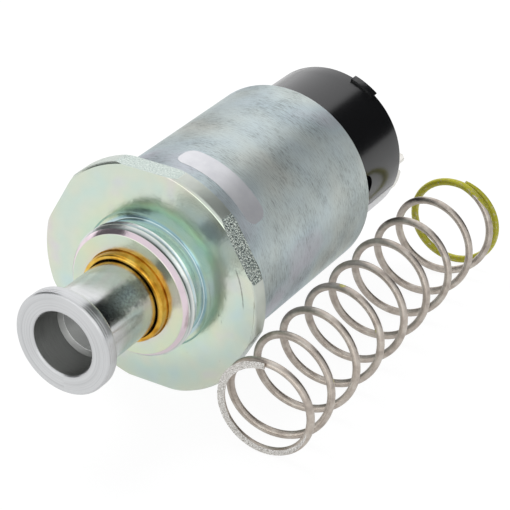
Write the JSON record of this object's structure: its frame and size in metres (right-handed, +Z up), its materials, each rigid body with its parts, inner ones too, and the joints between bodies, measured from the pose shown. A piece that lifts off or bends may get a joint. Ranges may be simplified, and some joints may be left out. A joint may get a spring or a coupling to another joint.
{
  "type": "fuel shutoff solenoid",
  "caption": "Fuel shutoff solenoid with a threaded hexagonal mounting collar, a plunger with a socketed head, a terminal cap with three blades and a loose return spring.",
  "frame": {"origin": "on the plunger's axis, in the plane of the flange's front face, where the solenoid seats against what it is screwed into", "axes": "+Y along the axis from the plunger's head to the terminals, +Z up with a flat of the flange underneath, +X to the right seen from the plunger's head, where the loose spring lies"},
  "size_m": [0.0723, 0.1142, 0.051],
  "materials": {
    "clear_zinc": "clear zinc passivate, semi-gloss",
    "zinc_case": "brushed, zinc plated",
    "brass": "drawn, satin",
    "bright_steel": "turned and plated",
    "bare_steel": "turned",
    "spring_steel": "drawn wire, oiled",
    "winding_wire": "enamelled copper",
    "bobbin_nylon": "moulded, satin",
    "film_tape": "polyester film",
    "fibre": "vulcanised fibre",
    "black_rubber": "moulded rubber",
    "black_plastic": "moulded, semi-gloss",
    "tinned_brass": "tinned, satin",
    "lead_jacket": "insulated wire"
  },
  "bodies": {
    "solenoid": {"mounting_collar": "clear_zinc", "case_tube": "zinc_case", "guide_tube": "brass", "fixed_core": "bare_steel", "residual_disc": "brass", "bobbin": "bobbin_nylon", "hold_winding": "winding_wire", "interlayer_tape": "film_tape", "pull_winding": "winding_wire", "winding_wrap": "film_tape", "spring_washer": "bare_steel", "insulating_washer": "fibre", "end_plate": "bare_steel", "cap_gasket": "black_rubber", "terminal_cap": "black_plastic", "terminal_pull": "tinned_brass", "terminal_hold": "tinned_brass", "terminal_common": "tinned_brass", "lead_pull": "lead_jacket", "lead_hold": "lead_jacket", "lead_common": "lead_jacket", "tube_seal": "black_rubber", "return_spring": "spring_steel"},
    "plunger": {"plunger": "bright_steel"}
  },
  "joints": [
    {"name": "plunger_slide", "type": "slide", "parent": "solenoid", "child": "plunger", "axis": [0, 1, 0], "range_m": [-0.0094, 0.016]}
  ]
}
